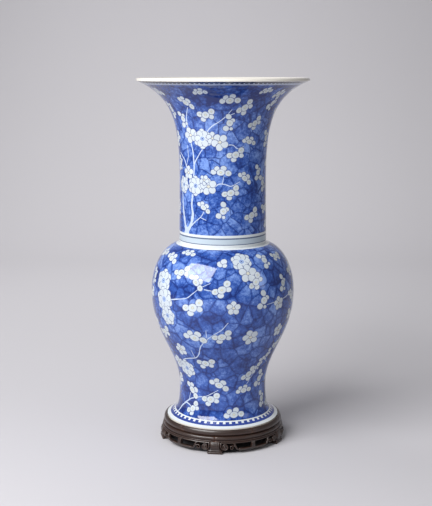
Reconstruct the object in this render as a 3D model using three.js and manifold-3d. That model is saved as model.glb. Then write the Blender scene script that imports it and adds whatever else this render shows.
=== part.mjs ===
// A blue and white porcelain vase with a trumpet neck, standing in the recess of a carved hardwood
// stand. The stand is joined from a floating panel, five rim arcs, five moulding arcs, five pierced
// aprons and five bowed legs with tenons.
import * as THREE from 'three';
import { mergeVertices } from 'three/addons/utils/BufferGeometryUtils.js';
import Module from 'manifold-3d';

const wasm = await Module();
wasm.setup();

// Millimetres. +Z is up, the stand's feet are on z = 0 and the vase's axis is x = y = 0.
// The vase: its heights are measured from its own foot.
const VASE_HEIGHT = 450;
const MOUTH_RADIUS = 112;
const LIP_DEPTH = 3.6;
const LIP_ROUNDING = 1.4;
const NECK_RADIUS = 56.4;
const NECK_BASE_RADIUS = 57.4;
const NECK_BASE_HEIGHT = 236.2;
const FLARE_HEIGHT = 318.6;
const FLARE_RISE = 70;
const LIP_RUN = 49.5;
const LIP_FALL = 20;
const BELLY_RADIUS = 94.4;
const BELLY_HEIGHT = 172;
const SHOULDER_RISE = 29.4;
const SHOULDER_RUN = 24;
const SHOULDER_FALL = 4;
const BELLY_FALL = 57.7;
const WAIST_RADIUS = 57.7;
const WAIST_HEIGHT = 44.6;
const WAIST_RISE = 44.5;
const WAIST_FALL = 31;
const FOOT_RADIUS = 74.5;
const FOOT_EDGE = 3.6;
const FOOT_BEVEL = 1.2;
const FOOT_RUN = 14;
const FOOT_RISE = 5.6;
const FOOTRING_WIDTH = 8;
const BASE_RECESS = 7;
const BASE_THICKNESS = 9;
const WALL = 6;

// The stand, from the floor up.
const LEG_COUNT = 5;
const FIRST_LEG_AZIMUTH = -7.3;
const LEG_HEIGHT = 16;
const MOULDING_HEIGHT = 6.5;
const RIM_HEIGHT = 5.5;
const RECESS_DEPTH = 2.5;

// The stand, from the vase's foot outwards.
const FOOT_CLEARANCE = 1;
const LIP_WIDTH = 3.3;
const RIM_WIDTH = 13.8;
const RIM_NOSING = 2;
const WAIST_INSET = 2.2;
const WAIST_GROOVE = 1.5;
const MOULDING_OVERHANG = 1.2;
const MOULDING_WIDTH = 13;
const BEAD_HEIGHT = 1.3;
const BEAD_PROUD = 1;
const APRON_SETBACK = 0.4;
const APRON_THICKNESS = 4.5;
const BOW = 2.7;
const LEG_PROUD = 0.6;

// Legs and joints.
const LEG_WIDTH = 12.4;
const LEG_SHOULDER = 0.7;
const TOE_WIDTH = 20;
const TOE_HEIGHT = 4.2;
const TOE_REACH = 1.4;
const ANKLE_HEIGHT = 7.4;
const FOOT_DEPTH = 8;
const TENON_WIDTH = 6;
const TENON_DEPTH = 3.8;
const TENON_BITE = 3.8;
const TENON_WALL = 2.6;
const PANEL_TONGUE = 3;
const PANEL_TONGUE_THICKNESS = 1.6;
const RIM_TONGUE = 3;
const RIM_TONGUE_THICKNESS = 1.6;
const APRON_TONGUE = 2;
const APRON_TONGUE_THICKNESS = 2;
const APRON_TONGUE_HEIGHT = 4;
const GLUE_LINE = 0.3;

// The aprons' openwork.
const APRON_DROP = 12.8;
const RAIL_HEIGHT = 2.6;
const BAR_HEIGHT = 4;
const BAR_LENGTH = 38;
const STRUT_WIDTH = 6.6;
const STRUT_NECK = 4.6;
const SCROLL_WIDTH = 2.4;
const SCROLL_RUN = 10;
const VOLUTE_RADIUS = 4.3;
const VOLUTE_EYE = 1.7;
const STILE_WIDTH = 2.6;

// How finely round forms are divided.
const VASE_SIDES = 44;
const SIDES_PER_BAY = 10;
const VOLUTE_SIDES = 10;
const CURVE_STEPS = 5;

const recessRadius = FOOT_RADIUS + FOOT_CLEARANCE;
const rimRadius = recessRadius + LIP_WIDTH;
const rimInnerRadius = rimRadius - RIM_WIDTH;
const waistRadius = rimRadius - WAIST_INSET;
const mouldingRadius = rimRadius + MOULDING_OVERHANG;
const mouldingInnerRadius = mouldingRadius - MOULDING_WIDTH;
const beadRadius = mouldingRadius + BEAD_PROUD;
const apronRadius = beadRadius - APRON_SETBACK;
const tenonOuterRadius = waistRadius - TENON_WALL;
const tenonInnerRadius = tenonOuterRadius - TENON_DEPTH;
const legInnerRadius = tenonInnerRadius - LEG_SHOULDER;
const rimBottom = LEG_HEIGHT + MOULDING_HEIGHT;
const recessFloor = rimBottom + RIM_HEIGHT;
const lipTop = recessFloor + RECESS_DEPTH;
const apronBottom = LEG_HEIGHT - APRON_DROP;
const bayAngle = 2 * Math.PI / LEG_COUNT;
const halfBay = bayAngle / 2;
const reach = 3 * rimRadius;

// Turns a three.js geometry into a solid with shared corners, no collapsed faces and its faces out.
function solidOf(geometry) {
  const bare = geometry.clone();
  bare.deleteAttribute('normal');
  bare.deleteAttribute('uv');
  const joined = mergeVertices(bare, 1e-4);
  const corners = joined.getAttribute('position').array;
  const faces = [];
  const index = joined.index.array;
  for (let i = 0; i < index.length; i += 3) {
    const [a, b, c] = [index[i], index[i + 1], index[i + 2]];
    if (a !== b && b !== c && c !== a) {
      faces.push(a, b, c);
    }
  }
  if (signedVolume(corners, faces) < 0) {
    faces.reverse();
  }
  return new wasm.Manifold(new wasm.Mesh({
    numProp: 3,
    vertProperties: new Float32Array(corners),
    triVerts: new Uint32Array(faces),
  }));
}

function signedVolume(corners, faces) {
  const [a, b, c] = [new THREE.Vector3(), new THREE.Vector3(), new THREE.Vector3()];
  let volume = 0;
  for (let i = 0; i < faces.length; i += 3) {
    a.fromArray(corners, 3 * faces[i]);
    b.fromArray(corners, 3 * faces[i + 1]);
    c.fromArray(corners, 3 * faces[i + 2]);
    volume += a.dot(b.cross(c)) / 6;
  }
  return volume;
}

function geometryOf(solid) {
  const mesh = solid.getMesh();
  const geometry = new THREE.BufferGeometry();
  geometry.setAttribute('position', new THREE.BufferAttribute(mesh.vertProperties, 3));
  geometry.setIndex(new THREE.BufferAttribute(mesh.triVerts, 1));
  geometry.computeVertexNormals();
  return geometry;
}

function joinAll(solids) {
  return solids.reduce((whole, solid) => whole.add(solid));
}

// Revolves an outline of (radius, height) points about the z axis. Azimuth 0 faces -Y.
function revolve(points, sides) {
  return solidOf(new THREE.LatheGeometry(points, sides).rotateX(Math.PI / 2));
}

function ring(outline) {
  return revolve([...outline, outline[0]], SIDES_PER_BAY * LEG_COUNT);
}

// Extrudes a shape drawn in (tangent, height) outwards from one radius to another, at an azimuth.
function radialPrism(shape, inner, outer, azimuth = 0) {
  const options = { depth: outer - inner, bevelEnabled: false, curveSegments: CURVE_STEPS };
  const geometry = new THREE.ExtrudeGeometry(shape, options);
  geometry.rotateX(Math.PI / 2).translate(0, -inner, 0).rotateZ(azimuth);
  return solidOf(geometry);
}

// Extrudes a shape drawn in (radius, height) sideways to a width, centred at azimuth 0.
function sidePrism(shape, width) {
  const options = { depth: width, bevelEnabled: false, curveSegments: CURVE_STEPS };
  const geometry = new THREE.ExtrudeGeometry(shape, options);
  geometry.translate(0, 0, -width / 2).rotateX(Math.PI / 2).rotateZ(-Math.PI / 2);
  return solidOf(geometry);
}

// A block given by its tangential, radial and vertical limits, turned to an azimuth.
function block(tangent, radius, height, azimuth = 0) {
  const size = [tangent[1] - tangent[0], radius[1] - radius[0], height[1] - height[0]];
  const geometry = new THREE.BoxGeometry(...size);
  const middle = [tangent, radius, height].map(([low, high]) => (low + high) / 2);
  geometry.translate(middle[0], -middle[1], middle[2]).rotateZ(azimuth);
  return solidOf(geometry);
}

// The space between two upright planes that stand the given distance inside azimuths -half and +half.
function wedge(half, inset) {
  const apex = inset / Math.sin(half);
  const shape = new THREE.Shape();
  shape.moveTo(0, -apex);
  shape.lineTo(reach * Math.sin(half), -apex - reach * Math.cos(half));
  shape.lineTo(-reach * Math.sin(half), -apex - reach * Math.cos(half));
  shape.closePath();
  const geometry = new THREE.ExtrudeGeometry(shape, { depth: reach, bevelEnabled: false });
  return solidOf(geometry.translate(0, 0, -LEG_HEIGHT));
}

// A strip of even width along a curve drawn in (tangent, height).
function strip(curve, width) {
  const left = [];
  const right = [];
  for (let step = 0; step <= CURVE_STEPS; step++) {
    const point = curve.getPoint(step / CURVE_STEPS);
    const along = curve.getTangent(step / CURVE_STEPS);
    const across = new THREE.Vector2(-along.y, along.x).multiplyScalar(width / 2);
    left.push(point.clone().add(across));
    right.unshift(point.clone().sub(across));
  }
  return new THREE.Shape([...left, ...right]);
}

function disc(x, y, radius) {
  const points = [];
  for (let side = 0; side < VOLUTE_SIDES; side++) {
    const angle = 2 * Math.PI * side / VOLUTE_SIDES;
    points.push(new THREE.Vector2(x + radius * Math.cos(angle), y + radius * Math.sin(angle)));
  }
  return new THREE.Shape(points);
}

// Points along the wall between two ends, each end given with the handle that the curve leaves by.
function bend(start, startHandle, endHandle, end, steps) {
  const corners = [start, startHandle, endHandle, end].map((corner) => new THREE.Vector2(...corner));
  return new THREE.CubicBezierCurve(...corners).getPoints(steps);
}

function vaseOutline() {
  const lipUnderside = VASE_HEIGHT - LIP_DEPTH;
  const innerNeck = NECK_RADIUS - WALL;
  const innerNeckBase = NECK_BASE_RADIUS - WALL;
  const innerBelly = BELLY_RADIUS - WALL;
  const innerWaist = WAIST_RADIUS - WALL;
  const innerFloor = BASE_RECESS + BASE_THICKNESS;
  const lipTopRadius = MOUTH_RADIUS - LIP_ROUNDING;
  const footringInner = FOOT_RADIUS - FOOTRING_WIDTH;
  const underside = [
    new THREE.Vector2(0, BASE_RECESS),
    new THREE.Vector2(footringInner - FOOT_BEVEL, BASE_RECESS),
    new THREE.Vector2(footringInner, FOOT_BEVEL),
    new THREE.Vector2(footringInner + FOOT_BEVEL, 0),
    new THREE.Vector2(FOOT_RADIUS - FOOT_BEVEL, 0),
    new THREE.Vector2(FOOT_RADIUS, FOOT_BEVEL),
  ];
  const footToWaist = bend(
    [FOOT_RADIUS, FOOT_EDGE],
    [FOOT_RADIUS - FOOT_RUN, FOOT_EDGE + FOOT_RISE],
    [WAIST_RADIUS, WAIST_HEIGHT - WAIST_FALL],
    [WAIST_RADIUS, WAIST_HEIGHT],
    5,
  );
  const waistToBelly = bend(
    [WAIST_RADIUS, WAIST_HEIGHT],
    [WAIST_RADIUS, WAIST_HEIGHT + WAIST_RISE],
    [BELLY_RADIUS, BELLY_HEIGHT - BELLY_FALL],
    [BELLY_RADIUS, BELLY_HEIGHT],
    7,
  );
  const bellyToNeck = bend(
    [BELLY_RADIUS, BELLY_HEIGHT],
    [BELLY_RADIUS, BELLY_HEIGHT + SHOULDER_RISE],
    [NECK_BASE_RADIUS + SHOULDER_RUN, NECK_BASE_HEIGHT - SHOULDER_FALL],
    [NECK_BASE_RADIUS, NECK_BASE_HEIGHT],
    6,
  );
  const neckToLip = bend(
    [NECK_RADIUS, FLARE_HEIGHT],
    [NECK_RADIUS, FLARE_HEIGHT + FLARE_RISE],
    [MOUTH_RADIUS - LIP_RUN, lipUnderside - LIP_FALL],
    [MOUTH_RADIUS, lipUnderside],
    8,
  );
  const lip = [
    new THREE.Vector2(MOUTH_RADIUS, VASE_HEIGHT - LIP_ROUNDING),
    new THREE.Vector2(lipTopRadius, VASE_HEIGHT),
  ];
  const lipToNeck = bend(
    [lipTopRadius, VASE_HEIGHT],
    [lipTopRadius - LIP_RUN - WALL / 2, VASE_HEIGHT - LIP_FALL],
    [innerNeck, FLARE_HEIGHT + FLARE_RISE + WALL / 2],
    [innerNeck, FLARE_HEIGHT],
    5,
  );
  const neckToBelly = bend(
    [innerNeckBase, NECK_BASE_HEIGHT - WALL],
    [innerNeckBase + SHOULDER_RUN, NECK_BASE_HEIGHT - WALL - SHOULDER_FALL],
    [innerBelly, BELLY_HEIGHT + SHOULDER_RISE - WALL / 2],
    [innerBelly, BELLY_HEIGHT],
    4,
  );
  const bellyToWaist = bend(
    [innerBelly, BELLY_HEIGHT],
    [innerBelly, BELLY_HEIGHT - BELLY_FALL],
    [innerWaist, WAIST_HEIGHT + WAIST_RISE],
    [innerWaist, WAIST_HEIGHT],
    4,
  );
  const waistToFloor = bend(
    [innerWaist, WAIST_HEIGHT],
    [innerWaist, innerFloor + WALL],
    [innerWaist - WALL, innerFloor],
    [0, innerFloor],
    3,
  );
  return [
    ...underside, ...footToWaist, ...waistToBelly.slice(1), ...bellyToNeck.slice(1), ...neckToLip, ...lip,
    ...lipToNeck.slice(1), ...neckToBelly, ...bellyToWaist.slice(1), ...waistToFloor.slice(1),
  ];
}

function vase() {
  const raised = vaseOutline().map((point) => new THREE.Vector2(point.x, point.y + recessFloor));
  return revolve(raised, VASE_SIDES);
}

// The panel's edge has a tongue all round that floats in the rim's groove.
const grooveMiddle = rimBottom + RIM_HEIGHT / 2;
const grooveHalf = PANEL_TONGUE_THICKNESS / 2 + GLUE_LINE;
const grooveRadius = rimInnerRadius + PANEL_TONGUE;

function panel() {
  const edge = rimInnerRadius - GLUE_LINE;
  const tongue = grooveRadius - GLUE_LINE;
  const tongueLow = grooveMiddle - PANEL_TONGUE_THICKNESS / 2;
  const tongueHigh = grooveMiddle + PANEL_TONGUE_THICKNESS / 2;
  const outline = [
    new THREE.Vector2(0, rimBottom),
    new THREE.Vector2(edge, rimBottom),
    new THREE.Vector2(edge, tongueLow),
    new THREE.Vector2(tongue, tongueLow),
    new THREE.Vector2(tongue, tongueHigh),
    new THREE.Vector2(edge, tongueHigh),
    new THREE.Vector2(edge, recessFloor),
    new THREE.Vector2(0, recessFloor),
  ];
  return revolve(outline, SIDES_PER_BAY * LEG_COUNT);
}

// The tenon on top of each leg, or the mortise for it when grown by the glue line.
function tenon(azimuth, growth) {
  return block(
    [-TENON_WIDTH / 2 - growth, TENON_WIDTH / 2 + growth],
    [tenonInnerRadius - growth, tenonOuterRadius + growth],
    [LEG_HEIGHT - 1, rimBottom + TENON_BITE + growth],
    azimuth,
  );
}

// The tongue that keys the end of one rim arc into the next, or the slot for it.
function rimTongue(azimuth, growth) {
  const half = RIM_TONGUE_THICKNESS / 2 + growth;
  return block(
    [-RIM_TONGUE, RIM_TONGUE + growth],
    [tenonInnerRadius - growth, tenonOuterRadius + growth],
    [grooveMiddle - half, grooveMiddle + half],
    azimuth,
  );
}

// One arc of the rim: a rounded nosing, the recess for the foot, the panel's groove, and a cove below
// the nosing that reads as the stand's waist. Its ends meet midway between two legs.
function rimArc() {
  const nosingHeight = lipTop - rimBottom - WAIST_GROOVE;
  const nosing = new THREE.CubicBezierCurve(
    new THREE.Vector2(rimRadius - 0.2 * RIM_NOSING, rimBottom + WAIST_GROOVE),
    new THREE.Vector2(rimRadius + 0.2 * RIM_NOSING, rimBottom + WAIST_GROOVE + nosingHeight / 2),
    new THREE.Vector2(rimRadius, lipTop),
    new THREE.Vector2(rimRadius - RIM_NOSING, lipTop),
  ).getPoints(5);
  const outline = [
    new THREE.Vector2(rimInnerRadius, rimBottom),
    new THREE.Vector2(waistRadius, rimBottom),
    new THREE.Vector2(waistRadius, rimBottom + WAIST_GROOVE),
    ...nosing,
    new THREE.Vector2(recessRadius, lipTop - GLUE_LINE),
    new THREE.Vector2(recessRadius, recessFloor),
    new THREE.Vector2(rimInnerRadius, recessFloor),
    new THREE.Vector2(rimInnerRadius, grooveMiddle + grooveHalf),
    new THREE.Vector2(grooveRadius, grooveMiddle + grooveHalf),
    new THREE.Vector2(grooveRadius, grooveMiddle - grooveHalf),
    new THREE.Vector2(rimInnerRadius, grooveMiddle - grooveHalf),
  ];
  return ring(outline)
    .intersect(wedge(halfBay, GLUE_LINE / 2))
    .subtract(tenon(0, GLUE_LINE))
    .subtract(rimTongue(-halfBay, GLUE_LINE))
    .add(rimTongue(halfBay, 0));
}

// One arc of the convex moulding under the waist, with a bead along its lower edge. Its ends meet over
// the legs and are notched round their tenons.
function mouldingArc() {
  const beadTop = LEG_HEIGHT + BEAD_HEIGHT;
  const belly = new THREE.CubicBezierCurve(
    new THREE.Vector2(mouldingRadius - BEAD_PROUD, beadTop),
    new THREE.Vector2(mouldingRadius + BEAD_PROUD / 2, beadTop + 1),
    new THREE.Vector2(mouldingRadius, rimBottom - 0.5),
    new THREE.Vector2(waistRadius, rimBottom),
  ).getPoints(5);
  const outline = [
    new THREE.Vector2(mouldingInnerRadius, LEG_HEIGHT),
    new THREE.Vector2(beadRadius - BEAD_HEIGHT / 3, LEG_HEIGHT),
    new THREE.Vector2(beadRadius, LEG_HEIGHT + BEAD_HEIGHT / 2),
    new THREE.Vector2(beadRadius - BEAD_HEIGHT / 3, beadTop),
    ...belly,
    new THREE.Vector2(mouldingInnerRadius, rimBottom),
  ];
  return ring(outline)
    .intersect(wedge(halfBay, GLUE_LINE / 2))
    .subtract(tenon(-halfBay, GLUE_LINE))
    .subtract(tenon(halfBay, GLUE_LINE));
}

// The bow that legs and aprons share, as (radius, height) corners of a quadratic curve from the top.
function bow(radius) {
  return [
    new THREE.Vector2(radius, LEG_HEIGHT),
    new THREE.Vector2(radius + 1.7 * BOW, (LEG_HEIGHT + apronBottom) / 2),
    new THREE.Vector2(radius + BOW / 2, apronBottom),
  ];
}

// The tongue on each end of an apron, housed in the leg's side, or the housing for it.
function apronTongue(side, azimuth, growth) {
  const outer = LEG_WIDTH / 2 + (growth ? 1 : GLUE_LINE + 1);
  const inner = LEG_WIDTH / 2 - APRON_TONGUE - growth;
  const middle = apronRadius + BOW / 2 - APRON_THICKNESS / 2;
  const half = APRON_TONGUE_THICKNESS / 2 + growth;
  const top = LEG_HEIGHT - RAIL_HEIGHT + growth;
  const tangent = side > 0 ? [inner, outer] : [-outer, -inner];
  const height = [top - APRON_TONGUE_HEIGHT - 2 * growth, top];
  return block(tangent, [middle - half, middle + half], height, azimuth);
}

// The centre strut of an apron, narrowed at mid height.
function strutShape() {
  const half = STRUT_WIDTH / 2;
  const neck = STRUT_NECK / 2;
  const middle = (LEG_HEIGHT + apronBottom) / 2;
  const shape = new THREE.Shape();
  shape.moveTo(-half, apronBottom);
  shape.lineTo(half, apronBottom);
  shape.quadraticCurveTo(neck - (half - neck), middle, half, LEG_HEIGHT);
  shape.lineTo(-half, LEG_HEIGHT);
  shape.quadraticCurveTo(-neck + (half - neck), middle, -half, apronBottom);
  return shape;
}

// The scroll that climbs from the end of the lower bar to the rail.
function scrollShape(side) {
  const low = apronBottom + BAR_HEIGHT / 2;
  const high = LEG_HEIGHT - RAIL_HEIGHT / 2;
  return strip(new THREE.CubicBezierCurve(
    new THREE.Vector2(-side * SCROLL_WIDTH, low),
    new THREE.Vector2(side * SCROLL_RUN * 0.7, low),
    new THREE.Vector2(side * SCROLL_RUN * 0.3, high),
    new THREE.Vector2(side * SCROLL_RUN, high),
  ), SCROLL_WIDTH);
}

// One pierced apron, drawn about the middle of its bay.
function apron() {
  const [top, middle, bottom] = bow(apronRadius);
  const front = new THREE.QuadraticBezierCurve(top, middle, bottom).getPoints(4);
  const back = front.map((point) => new THREE.Vector2(point.x - APRON_THICKNESS, point.y)).reverse();
  const board = ring([...front, ...back]).intersect(wedge(halfBay, LEG_WIDTH / 2 + GLUE_LINE));
  const [inner, outer] = [apronRadius - 2 * APRON_THICKNESS, apronRadius + 2 * BOW];
  const railBottom = LEG_HEIGHT - RAIL_HEIGHT;
  const barAngle = BAR_LENGTH / 2 / apronRadius;
  const voluteHeight = railBottom + SCROLL_WIDTH / 4 - VOLUTE_RADIUS;
  const voluteOffset = LEG_WIDTH / 2 + STILE_WIDTH + VOLUTE_RADIUS;
  const pieces = [
    block([-reach, reach], [0, reach], [railBottom, LEG_HEIGHT]),
    block([-reach, reach], [0, reach], [apronBottom, apronBottom + BAR_HEIGHT]).intersect(wedge(barAngle, 0)),
    radialPrism(strutShape(), inner, outer),
  ];
  for (const side of [-1, 1]) {
    const legAzimuth = side * halfBay;
    const stileStart = -side * LEG_WIDTH / 2;
    const stileEnd = -side * (LEG_WIDTH / 2 + GLUE_LINE + STILE_WIDTH);
    const stile = [Math.min(stileStart, stileEnd), Math.max(stileStart, stileEnd)];
    const volute = disc(-side * voluteOffset, voluteHeight, VOLUTE_RADIUS);
    volute.holes.push(disc(-side * voluteOffset, voluteHeight, VOLUTE_EYE));
    pieces.push(
      radialPrism(scrollShape(side), inner, outer, side * barAngle),
      block(stile, [inner, outer], [voluteHeight, LEG_HEIGHT], legAzimuth),
      radialPrism(volute, inner, outer, legAzimuth),
    );
  }
  return board
    .intersect(joinAll(pieces))
    .add(apronTongue(-1, halfBay, 0))
    .add(apronTongue(1, -halfBay, 0));
}

// The leg seen from the front: an upright post that spreads to two rolled toes.
function legFrontShape() {
  const post = LEG_WIDTH / 2;
  const toe = TOE_WIDTH / 2;
  const roll = TOE_HEIGHT / 2;
  const shape = new THREE.Shape();
  shape.moveTo(-post, LEG_HEIGHT);
  shape.lineTo(-post, ANKLE_HEIGHT);
  shape.quadraticCurveTo(-post, TOE_HEIGHT, -toe + roll, TOE_HEIGHT);
  shape.quadraticCurveTo(-toe, TOE_HEIGHT, -toe, roll);
  shape.quadraticCurveTo(-toe, 0, -toe + roll, 0);
  shape.lineTo(toe - roll, 0);
  shape.quadraticCurveTo(toe, 0, toe, roll);
  shape.quadraticCurveTo(toe, TOE_HEIGHT, toe - roll, TOE_HEIGHT);
  shape.quadraticCurveTo(post, TOE_HEIGHT, post, ANKLE_HEIGHT);
  shape.lineTo(post, LEG_HEIGHT);
  shape.closePath();
  return shape;
}

// The leg seen from the side: bowed out in front, and rolled over the toe.
function legSideShape() {
  const [top, middle, bottom] = bow(apronRadius + LEG_PROUD);
  const toe = bottom.x + TOE_REACH;
  const heel = toe - FOOT_DEPTH;
  const shape = new THREE.Shape();
  shape.moveTo(legInnerRadius, LEG_HEIGHT);
  shape.lineTo(top.x, top.y);
  shape.quadraticCurveTo(middle.x, middle.y, bottom.x, bottom.y);
  shape.quadraticCurveTo(toe, TOE_HEIGHT, toe, TOE_HEIGHT / 2);
  shape.lineTo(toe - TOE_REACH / 2, 0);
  shape.lineTo(heel, 0);
  shape.lineTo(heel, TOE_HEIGHT);
  shape.quadraticCurveTo(legInnerRadius, TOE_HEIGHT, legInnerRadius, LEG_HEIGHT - RAIL_HEIGHT);
  shape.closePath();
  return shape;
}

function leg() {
  return radialPrism(legFrontShape(), legInnerRadius - 1, apronRadius + 3 * BOW)
    .intersect(sidePrism(legSideShape(), 2 * TOE_WIDTH))
    .subtract(apronTongue(-1, 0, GLUE_LINE))
    .subtract(apronTongue(1, 0, GLUE_LINE))
    .add(tenon(0, 0));
}

const porcelain = () => new THREE.MeshStandardMaterial({ color: 0x3f5fa8, roughness: 0.12, metalness: 0 });
const hardwood = () => new THREE.MeshStandardMaterial({ color: 0x3a2a24, roughness: 0.4, metalness: 0 });

function named(name, geometry, material) {
  const mesh = new THREE.Mesh(geometry, material);
  mesh.name = name;
  return mesh;
}

const part = new THREE.Group();
part.add(named('vase', geometryOf(vase()), porcelain()));
part.add(named('stand_panel', geometryOf(panel()), hardwood()));

const rimGeometry = geometryOf(rimArc());
const mouldingGeometry = geometryOf(mouldingArc());
const apronGeometry = geometryOf(apron());
const legGeometry = geometryOf(leg());
const firstLeg = THREE.MathUtils.degToRad(FIRST_LEG_AZIMUTH);
for (let count = 0; count < LEG_COUNT; count++) {
  const overLeg = new THREE.Group();
  overLeg.rotation.z = firstLeg + count * bayAngle;
  overLeg.add(named(`stand_leg_${count + 1}`, legGeometry, hardwood()));
  overLeg.add(named(`stand_rim_${count + 1}`, rimGeometry, hardwood()));
  const midBay = new THREE.Group();
  midBay.rotation.z = overLeg.rotation.z + halfBay;
  midBay.add(named(`stand_apron_${count + 1}`, apronGeometry, hardwood()));
  midBay.add(named(`stand_moulding_${count + 1}`, mouldingGeometry, hardwood()));
  part.add(overLeg, midBay);
}

export default part;
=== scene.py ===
# Blue and white trumpet vase, painted with prunus on cracked ice, in its carved hardwood stand.
import math
import random

import bpy
import numpy as np
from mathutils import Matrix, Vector
from mathutils.geometry import delaunay_2d_cdt


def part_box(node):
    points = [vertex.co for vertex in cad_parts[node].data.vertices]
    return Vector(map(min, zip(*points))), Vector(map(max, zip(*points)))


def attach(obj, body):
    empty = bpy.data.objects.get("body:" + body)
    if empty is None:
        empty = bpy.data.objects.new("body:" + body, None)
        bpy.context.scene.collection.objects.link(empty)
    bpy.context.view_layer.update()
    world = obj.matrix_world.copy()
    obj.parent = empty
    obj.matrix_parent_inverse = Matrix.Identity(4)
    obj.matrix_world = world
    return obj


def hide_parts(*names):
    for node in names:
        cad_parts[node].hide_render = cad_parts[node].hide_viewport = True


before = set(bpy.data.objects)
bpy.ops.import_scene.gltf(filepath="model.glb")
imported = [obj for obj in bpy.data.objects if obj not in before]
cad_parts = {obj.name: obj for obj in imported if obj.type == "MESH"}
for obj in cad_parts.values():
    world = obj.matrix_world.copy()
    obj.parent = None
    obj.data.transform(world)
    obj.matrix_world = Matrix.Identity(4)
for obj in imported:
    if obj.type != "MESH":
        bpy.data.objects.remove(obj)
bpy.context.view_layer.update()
scene = bpy.context.scene
scene.view_settings.view_transform = "Standard"
bpy.ops.object.select_all(action="DESELECT")


# Camera: a long lens a little above the mouth, tipped down, as the photograph was taken. The object stands
# slightly right of the middle of the picture, so the eye is set off to the left of the vase's axis.
MM = 0.001
EYE = (-8.9 * MM, -1390 * MM, 489 * MM)
TIPPED_DOWN = math.radians(9.8)
FOCAL_LENGTH = 75.8

bpy.ops.object.camera_add(location=EYE, rotation=(math.radians(90) - TIPPED_DOWN, 0, 0))
camera = bpy.context.object
camera.data.lens = FOCAL_LENGTH
scene.camera = camera


# Room: a sheet of pale matt paper lies under the stand and curves up far behind it with no edge. One big soft
# light hangs high on the left, a wider one overhead, a reflector stands right and a lamp lights the paper
# behind. A dark grey round between the stand's feet is a painted shadow in the paper, which keeps its hollow
# dark.
SHEET_SIZE, SHEET_RISE, SHEET_BEND, SHEET_BACK = 8.0, 3.0, 1.1, 2.4
PAPER_GREY, PAINTED_SHADE_GREY = "C9C7CB", "525054"
PAINTED_SHADE_RADIUS, PAINTED_SHADE_FRAY = 75.5 * MM, 1.5 * MM
KEY_TURN, KEY_UP = math.radians(-44), math.radians(36)
KEY_AWAY, KEY_WIDE, KEY_TALL = 1.7, 1.36, 0.94
KEY_WATTS = 41.5
TOP_LAMP, TOP_WIDE, TOP_WATTS = Vector((-0.35, -0.15, 2.2)), 1.4, 4
CARD_TURN, CARD_UP = math.radians(60), math.radians(18)
CARD_AWAY, CARD_WIDE, CARD_TALL = 1.5, 0.5, 0.7
CARD_WATTS = 1.2
BACK_LAMP, BACK_AIM = Vector((-0.8, 0.75, 1.7)), Vector((0.35, 1.75, 0.15))
BACK_WIDE, BACK_SPREAD, BACK_WATTS = 0.6, math.radians(110), 8.6
ROOM_WHITE, ROOM_LIGHT = "F6F6F8", 0.23
MIDDLE = Vector((0, 0, 0.22))
NEAR = 0.01
# A range with eased ends, so that one tone runs softly into the next. A mix of colours takes its share at
# input 0 and the colours under and over at inputs 6 and 7, and gives the result at output 2.
SOFT = {"interpolation_type": "SMOOTHSTEP"}


def linear(colour):
    """Turns an sRGB hex colour into the linear red, green, blue and alpha that the shaders work in."""
    parts = [int(colour[i : i + 2], 16) / 255 for i in (0, 2, 4)]
    return [c / 12.92 if c <= 0.04045 else ((c + 0.055) / 1.055) ** 2.4 for c in parts] + [1.0]


def add(kind, inputs=(), output=0, **settings):
    """Adds a node to the finish in hand: sets it, fills or links its inputs, and gives one of its outputs."""
    made = tree.nodes.new("ShaderNode" + kind)
    for name, value in settings.items():
        setattr(made, name, value)
    for key, value in inputs.items() if isinstance(inputs, dict) else enumerate(inputs):
        if isinstance(value, bpy.types.NodeSocket):
            tree.links.new(value, made.inputs[key])
        else:
            made.inputs[key].default_value = linear(value) if isinstance(value, str) else value
    return made.outputs[output] if made.outputs else made


def new_finish(name):
    """Starts an empty material and gives it with its node tree."""
    finish = bpy.data.materials.new(name)
    finish.use_nodes = True
    finish.node_tree.nodes.clear()
    return finish, finish.node_tree


bpy.ops.mesh.primitive_plane_add(size=SHEET_SIZE, location=(0, SHEET_BACK - SHEET_SIZE / 2, 0))
sheet = bpy.context.object
sheet.name = "paper_sheet"
bpy.ops.object.transform_apply(location=True)
bpy.ops.object.mode_set(mode="EDIT")
bpy.ops.mesh.select_mode(type="EDGE")
bpy.ops.mesh.select_all(action="DESELECT")
bpy.ops.object.mode_set(mode="OBJECT")
for edge in sheet.data.edges:
    edge.select = all(sheet.data.vertices[v].co.y > SHEET_BACK - NEAR for v in edge.vertices)
bpy.ops.object.mode_set(mode="EDIT")
bpy.ops.mesh.extrude_region_move(TRANSFORM_OT_translate={"value": (0, 0, SHEET_RISE)})
bpy.ops.mesh.select_all(action="DESELECT")
bpy.ops.object.mode_set(mode="OBJECT")
for edge in sheet.data.edges:
    ends = [sheet.data.vertices[v].co for v in edge.vertices]
    edge.select = all(end.y > SHEET_BACK - NEAR and end.z < NEAR for end in ends)
bpy.ops.object.mode_set(mode="EDIT")
bpy.ops.mesh.bevel(offset=SHEET_BEND, segments=24, affect="EDGES")
bpy.ops.object.mode_set(mode="OBJECT")
bpy.ops.object.shade_smooth()
# Matt paper: its loose fibres scatter the light evenly, so it shows soft shadows and no gloss.
paper, tree = new_finish("matt_paper_painted_shadow")
place = add("TexCoord", output="Object")
centre = add("VectorMath", (place,), "Value", operation="LENGTH")
# A dark grey round with a soft edge is painted into the paper between the stand's feet: a painted shadow.
painted_shade = add("MapRange", (centre, PAINTED_SHADE_RADIUS - PAINTED_SHADE_FRAY, PAINTED_SHADE_RADIUS + PAINTED_SHADE_FRAY, 1, 0), **SOFT)
grey = add("Mix", {0: painted_shade, 6: PAPER_GREY, 7: PAINTED_SHADE_GREY}, 2, data_type="RGBA")
shader = add("BsdfPrincipled", {"Base Color": grey, "Roughness": 0.9})
add("OutputMaterial", {"Surface": shader})
sheet.data.materials.append(paper)


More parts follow.
